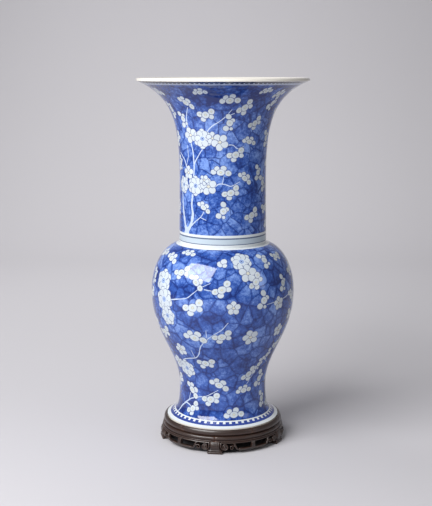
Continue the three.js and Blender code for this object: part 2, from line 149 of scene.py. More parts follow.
def around(turn, up, away):
    """A place by its turn round the object, its rise above the horizon and its distance."""
    level = math.cos(up)
    return MIDDLE + away * Vector((math.sin(turn) * level, -math.cos(turn) * level, math.sin(up)))


def soft_light(name, at, aim, wide, tall, watts):
    """Hangs a rectangular soft light at a place, facing what it is aimed at."""
    bpy.ops.object.light_add(type="AREA", location=at, rotation=(at - aim).to_track_quat("Z", "Y").to_euler())
    light = bpy.context.object
    light.name = name
    light.data.shape = "RECTANGLE"
    light.data.size, light.data.size_y = wide, tall
    light.data.energy = watts
    return light


soft_light("key_softbox", around(KEY_TURN, KEY_UP, KEY_AWAY), MIDDLE, KEY_WIDE, KEY_TALL, KEY_WATTS)
soft_light("reflector", around(CARD_TURN, CARD_UP, CARD_AWAY), MIDDLE, CARD_WIDE, CARD_TALL, CARD_WATTS)
back_lamp = soft_light("back_lamp", BACK_LAMP, BACK_AIM, BACK_WIDE, BACK_WIDE, BACK_WATTS)
back_lamp.data.spread = BACK_SPREAD
back_lamp.visible_glossy = False
top_lamp = soft_light("top_lamp", TOP_LAMP, MIDDLE, TOP_WIDE, TOP_WIDE, TOP_WATTS)
top_lamp.visible_glossy = False
world = bpy.data.worlds.new("room_light")
scene.world = world
world.use_nodes = True
world.node_tree.nodes["Background"].inputs["Color"].default_value = linear(ROOM_WHITE)
world.node_tree.nodes["Background"].inputs["Strength"].default_value = ROOM_LIGHT


# Vase form: porcelain thrown with a 6 mm wall and trimmed at the foot. This is its half section, from the
# middle of its base out over the foot, up the outside, over the lip and down the inside. Each run has its
# points, as radius and height above the foot in millimetres, and its steps.
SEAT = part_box("vase")[0][2] / MM
RIM_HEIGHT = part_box("vase")[1][2] / MM - SEAT
MOUTH, NECK, NECK_BASE = 112.0, 56.4, 57.4
BELLY, WAIST, FOOT = 94.4, 57.7, 74.5
FLARE_HEIGHT, NECK_BASE_HEIGHT, BELLY_HEIGHT, WAIST_HEIGHT = 318.6, 236.2, 172.0, 44.6
LIP_HEIGHT = RIM_HEIGHT - 3.6
FOOT_EDGE = 3.6
WALL = 6.0
FLOOR_HEIGHT = 16.0
BASE_RECESS = 7.0
RING, SOLE_FROM, SOLE_TO, RING_ROUND = 66.5, 67.7, 73.3, 1.2
COLUMNS = 144
underside = [
    ([(0, BASE_RECESS), (65.3, BASE_RECESS)], 6),
    ([(65.3, BASE_RECESS), (RING, RING_ROUND)], 2),
    ([(RING, RING_ROUND), (RING, 0.4), (66.9, 0), (SOLE_FROM, 0)], 4),
    ([(SOLE_FROM, 0), (SOLE_TO, 0)], 1),
    ([(SOLE_TO, 0), (74.1, 0), (FOOT, 0.4), (FOOT, RING_ROUND)], 4),
    ([(FOOT, RING_ROUND), (FOOT, FOOT_EDGE)], 1),
]
outside = [
    ([(FOOT, FOOT_EDGE), (60.5, 9.2), (WAIST, 13.6), (WAIST, WAIST_HEIGHT)], 22),
    ([(WAIST, WAIST_HEIGHT), (WAIST, 89.1), (BELLY, 114.3), (BELLY, BELLY_HEIGHT)], 36),
    ([(BELLY, BELLY_HEIGHT), (BELLY, 201.4), (81.4, 232.2), (NECK_BASE, NECK_BASE_HEIGHT)], 24),
    ([(NECK_BASE, NECK_BASE_HEIGHT), (NECK, FLARE_HEIGHT)], 20),
    ([(NECK, FLARE_HEIGHT), (NECK, 388.6), (62.5, 426.4), (MOUTH, LIP_HEIGHT)], 44),
]
NECK_IN, NECK_BASE_IN, BELLY_IN, WAIST_IN = NECK - WALL, NECK_BASE - WALL, BELLY - WALL, WAIST - WALL
inside = [
    ([(MOUTH, LIP_HEIGHT), (MOUTH, 449), (111.2, RIM_HEIGHT), (109.6, RIM_HEIGHT)], 8),
    ([(109.6, RIM_HEIGHT), (58.1, 430), (NECK_IN, 391.6), (NECK_IN, FLARE_HEIGHT)], 34),
    ([(NECK_IN, FLARE_HEIGHT), (NECK_BASE_IN, 230.2)], 8),
    ([(NECK_BASE_IN, 230.2), (75.4, 226.2), (BELLY_IN, 198.4), (BELLY_IN, BELLY_HEIGHT)], 14),
    ([(BELLY_IN, BELLY_HEIGHT), (BELLY_IN, 114.3), (WAIST_IN, 89.1), (WAIST_IN, WAIST_HEIGHT)], 18),
    ([(WAIST_IN, WAIST_HEIGHT), (WAIST_IN, 22), (45.7, FLOOR_HEIGHT), (0, FLOOR_HEIGHT)], 14),
]


def run_of(points, steps):
    """Points along a straight run of two points, or along a bow of four: its ends and its two pulls."""
    t = np.linspace(0, 1, steps + 1)[:, None]
    p = np.array(points, float)
    if len(p) == 2:
        return p[0] + t * (p[1] - p[0])
    return (1 - t) ** 3 * p[0] + 3 * (1 - t) ** 2 * t * p[1] + 3 * (1 - t) * t**2 * p[2] + t**3 * p[3]


def measured(pieces):
    """Follows the section and gives length, radius, height and the two parts of the outward normal."""
    lengths, places, normals, rows, start = [], [], [], [], 0.0
    for points, count in pieces:
        path = run_of(points, 96)
        steps = np.hypot(*np.diff(path, axis=0).T)
        along = start + np.concatenate([[0], np.cumsum(steps)])
        slope = np.gradient(path, axis=0)
        slope /= np.hypot(*slope.T)[:, None]
        lengths.append(along)
        places.append(path)
        normals.append(np.column_stack([slope[:, 1], -slope[:, 0]]))
        rows.append(np.linspace(start, along[-1], count + 1)[:-1])
        start = along[-1]
    rows.append([start])
    return np.concatenate(lengths), np.concatenate(places), np.concatenate(normals), np.concatenate(rows)


section_run, section_place, section_normal, section_rows = measured(underside + outside + inside)
FULL_RUN = section_run[-1]
PAINT_FROM = measured(underside)[0][-1]
PAINT_TO = measured(underside + outside)[0][-1]
painted = (section_run >= PAINT_FROM) & (section_run <= PAINT_TO)
painted_run, painted_place = section_run[painted], section_place[painted]


def run_at(height):
    """How far along the section the outer wall reaches a height above the foot."""
    return float(np.interp(height, painted_place[:, 1], painted_run))


def radius_at(run):
    """The vase's radius at a place along its section."""
    return float(np.interp(run, section_run, section_place[:, 0]))


# Painting: white plum blossom and twigs are left in reserve on the blue, each edged by a thin blue line.
# It is drawn flat, with turns round the vase on one side and the run along the section on the other, and
# each later stroke covers the earlier ones. The half of the pattern that faces front comes again behind.
ROUND = 80.0
SEAM = math.pi * ROUND
EDGE_LINE, RING_LINE, OVAL = 0.55, 0.45, 0.85
RINGED_LENGTH = 3.9
PAINT_MARGIN = 0.5
# Under the lip, where the wall turns away from the eye, the blossoms are drawn taller.
LIP_STRETCH, STRETCH_FROM, STRETCH_TO = 1.4, 395, 435
TWIG_STEP = 2.6
PAINTS = {
    "line": "4E5989",
    "petal": "C9D3DC",
    "heart": "D3D3C4",
    "wash": "9DB4DE",
    "dot": "2A3A74",
    "ring": "A6ACA2",
    "twig": "BFCEE6",
}
brush = random.Random(11)
strokes = []


def stroke(paint, points):
    """Records one painted patch, and the same patch once more where it crosses the seam behind."""
    tone = brush.uniform(0.93, 1.0)
    middle = sum(p[0] for p in points) / len(points)
    turns = 2 * SEAM * round(middle / (2 * SEAM))
    points = [(u - turns, run) for u, run in points]
    strokes.append((paint, tone, points))
    for side in (-1, 1):
        if any(side * u > SEAM for u, run in points):
            strokes.append((paint, tone, [(u - side * 2 * SEAM, run) for u, run in points]))


def spot(azimuth, height):
    """A place on the drawing, from degrees round the vase and millimetres above the foot."""
    return math.radians(azimuth) * ROUND, run_at(height)


def drawn(at, x, y):
    """A point of the drawing x to the right of a place and y above it."""
    tall = float(np.interp(at[1], (run_at(STRETCH_FROM), run_at(STRETCH_TO)), (1, LIP_STRETCH)))
    run = min(max(at[1] + tall * y, PAINT_FROM + PAINT_MARGIN), PAINT_TO - PAINT_MARGIN)
    return at[0] + x * ROUND / radius_at(run), run


def blob(paint, at, x, y, long, wide, lean, corners=14):
    """Paints an oval, a little uneven as a brush leaves it."""
    points = []
    for k in range(corners):
        turn = 2 * math.pi * k / corners
        a = long * math.cos(turn) * brush.uniform(0.95, 1.05)
        b = wide * math.sin(turn) * brush.uniform(0.95, 1.05)
        right = x + a * math.cos(lean) - b * math.sin(lean)
        up = y + a * math.sin(lean) + b * math.cos(lean)
        points.append(drawn(at, right, up))
    stroke(paint, points)


def petal(at, x, y, long, wide, lean=0.0):
    """Paints one petal with the blue line that edges it."""
    blob("line", at, x, y, long + EDGE_LINE, wide + EDGE_LINE, lean)
    blob("petal", at, x, y, long, wide, lean)


def ring(at, x, y, size, lean=0.0):
    """Paints the soft ring that marks a petal seen from the front."""
    blob("ring", at, x, y, size, OVAL * size, lean, 10)
    blob("heart", at, x, y, size - RING_LINE, OVAL * size - RING_LINE, lean, 8)


def heart(at, x, y, size):
    """Paints the ringed middle of a blossom."""
    blob("line", at, x, y, size + EDGE_LINE, OVAL * size + EDGE_LINE, 0, 10)
    blob("heart", at, x, y, size, OVAL * size, 0, 10)


# Each kind of blossom is a handful of petals: right, up, half length, half width, lean in degrees.
SIDE_BLOSSOMS = {
    "leaning": [(-7.8, -0.6, 4.0, 3.4, 10), (7.2, 5.6, 4.1, 3.8, 40), (7.6, -1.0, 3.2, 2.8, 0),
                (-2.6, -6.0, 3.6, 2.9, 0), (0, 0, 5.0, 4.2, 15)],
    "spread": [(-9.2, 0.6, 3.8, 3.2, 0), (-5.0, 5.0, 3.4, 2.9, 30), (3.6, 5.2, 3.9, 3.2, -10),
               (9.4, -1.0, 4.1, 3.5, -15), (0, 0, 5.2, 3.8, 0)],
    "drooping": [(-2.6, 8.2, 3.9, 3.3, -30), (3.6, 4.0, 3.0, 2.6, 0), (-3.2, -7.4, 3.8, 3.5, 0),
                 (3.4, -7.0, 2.2, 2.1, 0), (0.4, 0, 4.2, 4.3, 0)],
    "bud": [(-2.6, -0.8, 3.2, 3.6, 20), (2.4, 0.4, 3.4, 3.4, 0), (1.2, -4.4, 2.6, 2.2, 0)],
}


def blossom(azimuth, height, kind, turn=0, size=1.0):
    """Paints one blossom of a kind, turned by some degrees."""
    at = spot(azimuth, height)
    lean = math.radians(turn)
    if kind == "open":
        for k in range(5):
            way = lean + math.radians(90 + 72 * k)
            petal(at, 5.6 * size * math.cos(way), 5.6 * size * math.sin(way), 4.0 * size, 3.7 * size, way)
        heart(at, 0, 0, 1.9 * size)
    elif kind == "great":
        for count, reach, long, first in ((6, 9.0, 4.6, 30), (6, 7.0, 4.7, 0)):
            for k in range(count):
                way = lean + math.radians(first + 360 * k / count)
                x, y = reach * size * math.cos(way), reach * size * math.sin(way)
                petal(at, x, y, long * size, 4.3 * size, way)
        blob("petal", at, 0, 0, 4.6 * size, 4.4 * size, 0)
        blob("wash", at, 0, 0, 3.3 * size, 3.1 * size, 0)
        for k in range(7):
            way = lean + math.radians(360 * k / 7)
            blob("dot", at, 2.3 * size * math.cos(way), 2.2 * size * math.sin(way), 0.5, 0.45, 0, 6)
        blob("dot", at, 0, 0, 1.0, 0.9, 0, 8)
    else:
        for x, y, long, wide, tilt in SIDE_BLOSSOMS[kind]:
            right = (x * math.cos(lean) - y * math.sin(lean)) * size
            up = (x * math.sin(lean) + y * math.cos(lean)) * size
            petal(at, right, up, long * size, wide * size, lean + math.radians(tilt))
            if long > RINGED_LENGTH:
                ring(at, right, up, (0.4 * long - 0.2) * size, lean + math.radians(tilt))


def twig(width, tip, *places):
    """Paints a twig through places given by azimuth and height, narrowing from its width to its tip."""
    corners = [Vector(spot(*place)) for place in places]
    line = [corners[0]]
    for a, b in zip(corners, corners[1:]):
        count = max(1, round((b - a).length / TWIG_STEP))
        line += [a.lerp(b, k / count) for k in range(1, count + 1)]
    for _ in range(2):
        bends = [(a + 2 * b + c) / 4 for a, b, c in zip(line, line[1:], line[2:])]
        line = [line[0], *bends, line[-1]]
    left, right = [], []
    for k, point in enumerate(line):
        radius = radius_at(point.y)
        ahead, back = line[min(k + 1, len(line) - 1)], line[max(k - 1, 0)]
        way = Vector(((ahead.x - back.x) * radius / ROUND, ahead.y - back.y)).normalized()
        half = (width + (tip - width) * k / (len(line) - 1)) / 2 * brush.uniform(0.7, 1.1)
        for side, points in ((1, left), (-1, right)):
            points.append(drawn(point, -side * way.y * half, side * way.x * half))
    stroke("twig", right + left[::-1])


# The pattern's twigs: width and tip in millimetres, then places by azimuth and height above the foot.
TWIGS = [
    (12.5, 6.5, (-55, 249), (-54, 261)),
    (5.4, 2.4, (-56, 256), (-59, 268), (-63, 280), (-65, 292), (-66, 306)),
    (5.4, 2.6, (-52, 256), (-45, 266), (-42, 279), (-45, 289), (-43, 304)),
    (1.8, 1.0, (-45, 263), (-40, 268), (-29, 276), (-25, 283)),
    (1.2, 0.8, (-30, 275), (-22, 272)),
    (2.4, 1.3, (-54, 325), (-54, 336), (-59, 347), (-71, 356)),
    (2.6, 1.7, (-42, 322), (-40, 337), (-41, 357), (-44, 372)),
    (1.7, 1.1, (-41, 340), (-38, 346), (-31, 356), (-22, 368)),
    (1.3, 0.9, (-55, 340), (-50, 352), (-51, 366)),
    (1.6, 0.8, (-22, 380), (-17, 387), (-12, 392), (-5, 396), (3, 403), (9, 412)),
    (1.1, 0.8, (3, 403), (12, 407)),
    (1.8, 1.0, (-42, 384), (-47, 392), (-44, 403), (-38, 414)),
    (1.6, 0.8, (-5, 370), (2, 367), (12, 368), (18, 362), (27, 366)),
    (1.7, 0.8, (-13, 313), (-5, 319), (3, 318), (10, 315), (22, 321)),
    (1.1, 0.8, (-1, 319), (1, 328)),
    (1.6, 0.8, (-46, 172), (-37, 175), (-29, 177), (-24, 184), (-18, 192), (-10, 198)),
    (1.2, 0.7, (-15, 190), (-6, 188)),
    (1.7, 0.9, (-49, 88), (-40, 92), (-28, 95), (-24, 101), (-21, 113), (-14, 124), (-8, 131), (-1, 138),
     (4, 148)),
    (1.1, 0.7, (-30, 95), (-32, 106)),
    (1.1, 0.7, (-14, 127), (-14, 137)),
    (2.6, 1.4, (-72, 8), (-66, 19), (-55, 27), (-46, 24), (-42, 19)),
    (2.0, 0.8, (-60, 24), (-46, 34), (-34, 38), (-21, 41), (-6, 50)),
    (1.2, 0.8, (-50, 31), (-47, 42)),
    (1.6, 0.8, (66, 112), (54, 97), (46, 82), (38, 66), (30, 52)),
    (1.1, 0.7, (50, 90), (60, 82)),
    (1.5, 0.8, (70, 178), (58, 172), (46, 170), (36, 168)),
    (1.4, 0.8, (84, 300), (76, 312), (62, 322)),
    (1.3, 0.8, (82, 372), (74, 380), (66, 376)),
    (1.5, 0.8, (88, 196), (82, 212), (76, 222)),
]

# The pattern's blossoms: azimuth, height above the foot, kind, turn in degrees and size.
BLOSSOMS = [
    (-19, 433, "spread", 10, 0.74), (-38, 420, "spread", -28, 0.88), (6, 423, "spread", 8, 1.0),
    (22, 414, "leaning", 20, 0.95), (36, 434, "spread", 15, 0.7), (-19, 405, "leaning", -10, 1.0),
    (-51, 399, "drooping", 15, 0.95), (7, 395, "drooping", -8, 1.0), (39, 394, "leaning", 15, 0.9),
    (56, 419, "drooping", -30, 0.9), (55, 430, "spread", 20, 0.8), (-69, 411, "drooping", 20, 1.0),
    (-68, 432, "spread", 0, 0.9), (80, 410, "leaning", 0, 0.9), (76, 434, "spread", -20, 0.85),
    (-43, 379, "open", 20, 1.1), (-26, 375, "great", 0, 0.95), (-13, 376, "open", 0, 0.85),
    (-4, 371, "open", 30, 1.15), (34, 371, "spread", -8, 0.8), (16, 355, "leaning", 0, 1.0),
    (68, 374, "drooping", 10, 1.0), (-76, 372, "leaning", 30, 0.95), (-72, 342, "drooping", 0, 0.9),
    (-3, 333, "spread", 0, 1.0), (29, 325, "spread", -32, 0.85), (-51, 331, "open", 0, 0.95),
    (-62, 315, "great", 20, 0.85), (-38, 315, "great", 0, 0.95), (-19, 315, "open", 12, 1.15),
    (-25, 323, "open", 40, 0.7), (52, 331, "drooping", 0, 0.9), (64, 317, "drooping", 20, 1.0),
    (83, 340, "spread", 0, 0.9), (10, 307, "leaning", 5, 1.0), (86, 292, "open", 0, 1.0),
    (-26, 288, "spread", -30, 0.8), (0, 284, "drooping", -20, 1.0), (40, 277, "leaning", 10, 1.0),
    (70, 284, "leaning", -20, 0.9), (80, 262, "spread", 12, 0.9), (-80, 284, "drooping", 0, 1.0),
    (-38, 230, "spread", 0, 0.85), (-56, 222, "spread", -15, 1.0), (-37, 208, "leaning", 0, 1.0),
    (-78, 224, "spread", 20, 1.0), (-22, 198, "spread", -42, 0.95), (-1, 222, "bud", 25, 1.15),
    (17, 223, "great", 10, 1.0), (21, 209, "open", 0, 1.25), (41, 222, "drooping", 20, 1.0),
    (60, 224, "leaning", -25, 0.9), (-56, 194, "great", 0, 1.15), (-53, 171, "great", 15, 1.2),
    (-50, 150, "great", 40, 1.0), (-74, 196, "drooping", 10, 1.0), (-79, 172, "leaning", 0, 1.0),
    (27, 198, "leaning", 30, 1.0), (-1, 190, "leaning", 12, 1.1), (56, 191, "drooping", -10, 1.0),
    (76, 204, "leaning", 0, 1.0), (-24, 166, "leaning", 0, 1.25), (8, 167, "open", 0, 0.95),
    (33, 174, "drooping", -15, 1.1), (49, 167, "open", 10, 0.95), (70, 170, "spread", -30, 1.0),
    (90, 178, "open", 25, 1.1), (-25, 125, "spread", -6, 1.25), (-1, 128, "leaning", 0, 1.1),
    (24, 126, "open", 20, 1.15), (55, 129, "open", 0, 0.95), (72, 146, "leaning", -40, 1.0),
    (86, 136, "spread", 0, 1.0), (-62, 124, "leaning", 0, 1.1), (-78, 134, "open", 0, 1.1),
    (-45, 104, "open", 15, 1.0), (-19, 88, "leaning", -15, 1.05), (-60, 82, "open", 0, 1.1),
    (-47, 76, "great", 0, 1.0), (-5, 57, "spread", -22, 1.05), (-44, 46, "spread", -45, 1.0),
    (-16, 37, "leaning", -5, 1.05), (-42, 21, "leaning", 20, 0.95), (64, 108, "leaning", 10, 0.9),
    (54, 94, "drooping", -30, 0.85), (45, 82, "drooping", -25, 0.8), (33, 70, "leaning", 25, 1.0),
    (54, 60, "drooping", -15, 1.1), (28, 48, "spread", 10, 0.85), (62, 30, "drooping", 0, 1.0),
    (14, 17, "spread", 8, 1.05), (80, 92, "open", 0, 1.0), (84, 56, "leaning", 0, 1.0),
    (82, 18, "spread", -10, 0.9), (-80, 96, "drooping", 0, 1.0), (-74, 54, "leaning", 10, 1.0),
]
for half in (0, 180):
    for width, tip, *places in TWIGS:
        twig(width, tip, *[(azimuth + half, height) for azimuth, height in places])
    for azimuth, height, kind, turn, size in BLOSSOMS:
        blossom(azimuth + half, height, kind, turn, size)


# Vase: one closed piece of glazed porcelain, thrown, painted and fired once. The drawing's patches are cut
# into its skin, so each petal and twig has a crisp edge of its own, and every corner carries its paint.
ROW = COLUMNS + 1
SAME_PLACE = 0.002
lines = [Vector((SEAM * (2 * k / COLUMNS - 1), run)) for run in section_rows for k in range(ROW)]
seams = [
    (row * ROW + side, (row + 1) * ROW + side)
    for row in range(len(section_rows) - 1) for side in (0, COLUMNS)
]
patches = []
for paint, tone, points in strokes:
    patches.append(list(range(len(lines), len(lines) + len(points))))
    lines += [Vector(point) for point in points]
flat, _, cells, _, _, covers = delaunay_2d_cdt(lines, seams, patches, 0, 1e-4, True)
flat = np.array([tuple(point) for point in flat])
cells = np.array(cells)
covers = np.array([max(cover, default=-1) for cover in covers])
inner = np.abs(flat[cells, 0].mean(axis=1)) < SEAM
cells, covers = cells[inner], covers[inner]

turn, run = flat[:, 0] / ROUND, flat[:, 1]
radius, height = (np.interp(run, section_run, section_place[:, k]) for k in (0, 1))
points = np.column_stack([radius * np.sin(turn), -radius * np.cos(turn), height + SEAT]) * MM
keep = np.arange(len(flat))
ends = [np.flatnonzero(np.abs(flat[:, 0] - side * SEAM) < SAME_PLACE) for side in (-1, 1)]
ends = [end[np.argsort(run[end])] for end in ends]
keep[ends[1]] = ends[0]
for pole in (0.0, FULL_RUN):
    tip = np.flatnonzero(np.abs(run - pole) < SAME_PLACE)
    keep[tip] = tip[0]
joined = keep[keep[cells]]
solid = (joined[:, 0] != joined[:, 1]) & (joined[:, 1] != joined[:, 2]) & (joined[:, 2] != joined[:, 0])
cells, covers, joined = cells[solid], covers[solid], joined[solid]
used, corners = np.unique(joined, return_inverse=True)
mesh = bpy.data.meshes.new("vase_glazed")
mesh.from_pydata(points[used].tolist(), [], corners.reshape(-1, 3).tolist())
vase = bpy.data.objects.new("vase_glazed", mesh)
scene.collection.objects.link(vase)

# Where the section has a crisp angle, each corner takes the normal of its own side of the angle.
corner_turn, corner_run = turn[cells], run[cells]
aim = corner_run + 2 * SAME_PLACE * np.sign(corner_run.mean(axis=1, keepdims=True) - corner_run)
out, up = (np.interp(aim, section_run, section_normal[:, k]) for k in (0, 1))
facing = np.stack([out * np.sin(corner_turn), -out * np.cos(corner_turn), up], axis=2).reshape(-1, 3)
mesh.shade_smooth()
mesh.normals_split_custom_set(facing.tolist())
unrolled = np.stack([corner_turn / (2 * math.pi) + 0.5, corner_run / FULL_RUN], axis=2)
mesh.uv_layers.new(name="OFBake").uv.foreach_set("vector", unrolled.ravel())
colours = {name: np.array(linear(code)) for name, code in PAINTS.items()}
paint_of = [colours[paint] * [tone, tone, tone, 1] for paint, tone, _ in strokes] + [np.zeros(4)]
painting = mesh.color_attributes.new("painting", "FLOAT_COLOR", "CORNER")
painting.data.foreach_set("color", np.repeat(np.array(paint_of)[covers], 3, axis=0).ravel())
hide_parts("vase")
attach(vase, "vase")


# Glazed porcelain: cobalt painted on a white body under one clear, glassy, slightly uneven glaze. The blue
# is laid in washes, darker along the cracks of the ice and lighter in the middle of each shard, and the
# glaze gives sharp reflections of the lights that waver a little.
SHARD, SPLINTER = 17 * MM, 8 * MM
WARP, WARP_REACH = 22 * MM, 5 * MM
WASH, FLECK, RIPPLE = 24 * MM, 4 * MM, 14 * MM
RIPPLE_DEEP = 0.06 * MM
COBALT_DARK, COBALT_MID, COBALT_LIGHT = "152A6E", "3458A9", "7898DA"
GLAZE_WHITE, GLAZE_CREAM = "D9DFE2", "E6E2D9"
BAND_WASH = "BAC8D3"
LINE_GREY = "5C6A86"
RIM_LINE = "A9B4CC"
DENTIL_BLUE, FOOT_BLUE = "1B2340", "33478F"
# Where the blue is made lighter or darker by height: from a height, to a height and by how much. The
# lightening on the shoulder is painted light, the darkening under the lip and towards the foot is painted
# shade, and the neck is a little darker.
NECK_TONE = 265
TONE_AND_PAINTED_LIGHT = [
    (178, 214, 0.17), (NECK_BASE_HEIGHT, NECK_TONE, -0.07), (385, 430, -0.42), (90, 30, -0.12),
]
# The painted bands, by the heights of their edges and their paint, and the rows of small blocks along the
# foot and the lip, which also have their number round the vase and the share of the turn that they fill.
BANDS = [
    (2.0, 10.4, GLAZE_WHITE),
    (5.5, 9.2, FOOT_BLUE),
    (235.2, 252.6, GLAZE_WHITE),
    (240.4, 248.6, BAND_WASH),
    (240.2, 241.2, LINE_GREY),
    (247.6, 249.4, LINE_GREY),
    (441.7, 443.3, RIM_LINE),
    (443.3, 445.9, DENTIL_BLUE),
    (445.9, 446.4, GLAZE_CREAM),
]
DENTILS = [(7.3, 9.4, 50, 0.42, GLAZE_WHITE), (443.2, 444.2, 110, 0.35, RIM_LINE)]
glaze, tree = new_finish("cobalt_under_clear_glaze")
place = add("TexCoord", output="Object")
shake = add("TexNoise", {"Vector": place, "Scale": 1 / WARP, "Detail": 2.0}, "Color")
shake = add("VectorMath", (shake, (0.5, 0.5, 0.5)), operation="SUBTRACT")
shake = add("VectorMath", {0: shake, "Scale": WARP_REACH}, operation="SCALE")
warped = add("VectorMath", (place, shake), operation="ADD")
shard = add("TexVoronoi", {"Vector": warped, "Scale": 1 / SHARD}, "Color")
shard = add("SeparateColor", (shard,), "Red")
crack, splinter = (
    add("TexVoronoi", {"Vector": warped, "Scale": 1 / size}, "Distance", feature="DISTANCE_TO_EDGE")
    for size in (SHARD, SPLINTER)
)
wash = add("TexNoise", {"Vector": place, "Scale": 1 / WASH, "Detail": 3.0})
fleck = add("TexNoise", {"Vector": place, "Scale": 1 / FLECK, "Detail": 3.0, "Roughness": 0.7})
unrolled = add("UVMap", output="UV", uv_map="OFBake")
turned = add("SeparateXYZ", (unrolled,), "X")
along = add("SeparateXYZ", (unrolled,), "Y")
along = add("Math", (along, FULL_RUN), operation="MULTIPLY")
on_neck = add("MapRange", (along, run_at(NECK_BASE_HEIGHT), run_at(NECK_TONE), 0.0, 1.0), **SOFT)

# The tone runs from 0, the darkest wash, to 1, the lightest.
tone = add("MapRange", (shard, 0, 1, 0.34, 0.78))
edges = add("MapRange", (crack, 0, 0.16, 0.26, 0.0), **SOFT)
edges = add("Math", (edges, add("MapRange", (splinter, 0, 0.09, 0.14, 0.0), **SOFT)), operation="ADD")
edges = add("Math", (edges, add("MapRange", (on_neck, 0, 1, 1.0, 0.6), **SOFT)), operation="MULTIPLY")
tone = add("Math", (tone, edges), operation="SUBTRACT")
tone = add("Math", (tone, add("MapRange", (wash, 0.3, 0.7, -0.30, 0.30))), operation="ADD")
mottle = add("MapRange", (fleck, 0.3, 0.7, -0.26, 0.26))
mottle = add("Math", (mottle, add("MapRange", (on_neck, 0, 1, 1.0, 1.35), **SOFT)), operation="MULTIPLY")
tone = add("Math", (tone, mottle), operation="ADD")
# Painted light on the shoulder and painted shade under the lip and towards the foot, laid into the blue.
for start, end, change in TONE_AND_PAINTED_LIGHT:
    change = add("MapRange", (along, run_at(start), run_at(end), 0.0, change), **SOFT)
    tone = add("Math", (tone, change), operation="ADD")
light = add("MapRange", (tone, 0, 0.5, 0, 1))
blue = add("Mix", {0: light, 6: COBALT_DARK, 7: COBALT_MID}, 2, data_type="RGBA")
light = add("MapRange", (tone, 0.5, 1.0, 0, 1))
blue = add("Mix", {0: light, 6: blue, 7: COBALT_LIGHT}, 2, data_type="RGBA")
line = add("MapRange", (crack, 0.01, 0.035, 0.78, 0.0), **SOFT)
blue = add("Mix", {0: line, 6: blue, 7: COBALT_DARK}, 2, data_type="RGBA")

brushed = add("Attribute", output="Color", attribute_name="painting")
covered = add("Attribute", output="Alpha", attribute_name="painting")
colour = add("Mix", {0: covered, 6: blue, 7: brushed}, 2, data_type="RGBA")


def between(low, high):
    """One between two places along the section, and nothing elsewhere."""
    above = add("Math", (along, low), operation="GREATER_THAN")
    below = add("Math", (along, high), operation="LESS_THAN")
    return add("Math", (above, below), operation="MULTIPLY")


def notches(count, share):
    """One in each of a number of equal notches round the vase, which fill a share of the turn."""
    part = add("Math", (turned, count), operation="MULTIPLY")
    part = add("Math", (part,), operation="FRACT")
    return add("Math", (part, share), operation="LESS_THAN")


outer = between(PAINT_FROM, PAINT_TO)
colour = add("Mix", {0: outer, 6: GLAZE_CREAM, 7: colour}, 2, data_type="RGBA")
for low, high, paint in BANDS:
    band = between(run_at(low), run_at(high))
    colour = add("Mix", {0: band, 6: colour, 7: paint}, 2, data_type="RGBA")
for low, high, count, share, paint in DENTILS:
    band = between(run_at(low), run_at(high))
    band = add("Math", (band, notches(count, share)), operation="MULTIPLY")
    colour = add("Mix", {0: band, 6: colour, 7: paint}, 2, data_type="RGBA")
ripple = add("TexNoise", {"Vector": place, "Scale": 1 / RIPPLE, "Detail": 1.0})
uneven = add("Bump", {"Height": ripple, "Distance": RIPPLE_DEEP, "Strength": 1.0})
shader = add("BsdfPrincipled", {"Base Color": colour, "Roughness": 0.06, "IOR": 1.58, "Normal": uneven})
add("OutputMaterial", {"Surface": shader})
mesh.materials.append(glaze)


# Hardwood: blackwood stained almost black, carved, scraped and rubbed with wax. The grain follows each board,
# open pores draw short dark streaks along it, hollows are painted dark and dull, as dirt and as painted
# shade, and edges that stand proud are painted browner and shine more, as wear and as a painted highlight.
WOOD_DARK, WOOD_BROWN, WOOD_WEAR_AND_HIGHLIGHT = "180D09", "6E4431", "B0886B"
# The real fibres and pores are less than half as wide, and are drawn coarser so that they show.
FIBRE, FIBRE_LENGTH = 0.7 * MM, 22 * MM
PORE, PORE_LENGTH = 0.35 * MM, 5 * MM
# At this scale the wave draws one ring to each unit of length.
YEAR_RING, WAVE = 3.5 * MM, 0.628
SMUDGE, GRAIN_DEEP = 9 * MM, 0.12 * MM
WAX = 0.5
# The note of wear and shade is near 0 in hollows, about 0.25 on flats and up to 0.4 on edges that stand
# proud.
HOLLOW_NOTE = 0.06
hardwood, tree = new_finish("waxed_blackwood")
board = add("Attribute", output="Vector", attribute_name="board")
wear_and_shade = add("Attribute", output="Fac", attribute_name="handled")
along_fibre, along_pore, along_year = (
    add("Mapping", {"Vector": board, "Scale": (1 / length, 1 / width, 1 / width)})
    for length, width in ((FIBRE_LENGTH, FIBRE), (PORE_LENGTH, PORE), (25 * YEAR_RING, YEAR_RING))
)
fibre = add("TexNoise", {"Vector": along_fibre, "Scale": 1.0, "Detail": 3.0, "Roughness": 0.6})
pore = add("TexNoise", {"Vector": along_pore, "Scale": 1.0, "Detail": 1.0})
year = add(
    "TexWave", {"Vector": along_year, "Scale": WAVE, "Distortion": 3.0, "Detail": 2.0},
    wave_type="BANDS", bands_direction="DIAGONAL",
)
smudge = add("TexNoise", {"Vector": board, "Scale": 1 / SMUDGE, "Detail": 2.0})
brown = add("MapRange", (fibre, 0.33, 0.7, 0.0, 0.6), **SOFT)
brown = add("Math", (brown, add("MapRange", (year, 0, 1, 0.0, 0.35), **SOFT)), operation="ADD")
colour = add("Mix", {0: brown, 6: WOOD_DARK, 7: WOOD_BROWN}, 2, data_type="RGBA")
